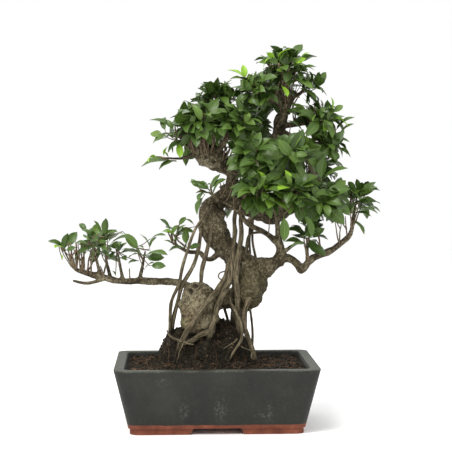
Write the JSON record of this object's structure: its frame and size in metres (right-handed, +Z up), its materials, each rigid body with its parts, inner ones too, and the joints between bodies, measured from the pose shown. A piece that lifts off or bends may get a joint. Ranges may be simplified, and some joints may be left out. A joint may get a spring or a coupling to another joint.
{
  "type": "bonsai tree in a pot",
  "caption": "Banyan fig bonsai with a swollen, leaning trunk, hanging aerial roots and tufts of glossy leaves, in a dark rectangular footed pot.",
  "frame": {"origin": "on the ground under the middle of the pot, which is also the middle of the whole tree's width and depth", "axes": "+Z up, +X along the pot's front towards the tree's right-hand side as it is shown, +Y from the front to the back"},
  "size_m": [0.4086, 0.1759, 0.478],
  "materials": {
    "pot_glaze": "matte",
    "screen_plastic": "matte",
    "wire_metal": "satin",
    "grit": "matte",
    "soil": "matte",
    "bark": "matte",
    "leaf": "satin"
  },
  "bodies": {
    "root": {"drain_screen_left": "screen_plastic", "drain_screen_right": "screen_plastic", "drainage_grit": "grit", "leaves_apex": "leaf", "leaves_apex_back": "leaf", "leaves_apex_right": "leaf", "leaves_back_centre": "leaf", "leaves_back_left": "leaf", "leaves_back_low": "leaf", "leaves_back_low_left": "leaf", "leaves_back_mid": "leaf", "leaves_back_right": "leaf", "leaves_crown_centre": "leaf", "leaves_crown_far_left": "leaf", "leaves_crown_front": "leaf", "leaves_crown_top": "leaf", "leaves_far_right": "leaf", "leaves_hanging": "leaf", "leaves_left_back": "leaf", "leaves_left_inner": "leaf", "leaves_left_inner_high": "leaf", "leaves_left_mid": "leaf", "leaves_left_tip": "leaf", "leaves_low_spray": "leaf", "leaves_lower_front": "leaf", "leaves_lower_right": "leaf", "leaves_mid_centre": "leaf", "leaves_mid_front": "leaf", "leaves_mid_right": "leaf", "leaves_right_upper": "leaf", "leaves_right_upper_low": "leaf", "leaves_second_left": "leaf", "leaves_small_left": "leaf", "leaves_upper_mid": "leaf", "pot": "pot_glaze", "screen_clip_left": "wire_metal", "screen_clip_right": "wire_metal", "soil": "soil", "tree_wood": "bark"}
  },
  "joints": []
}
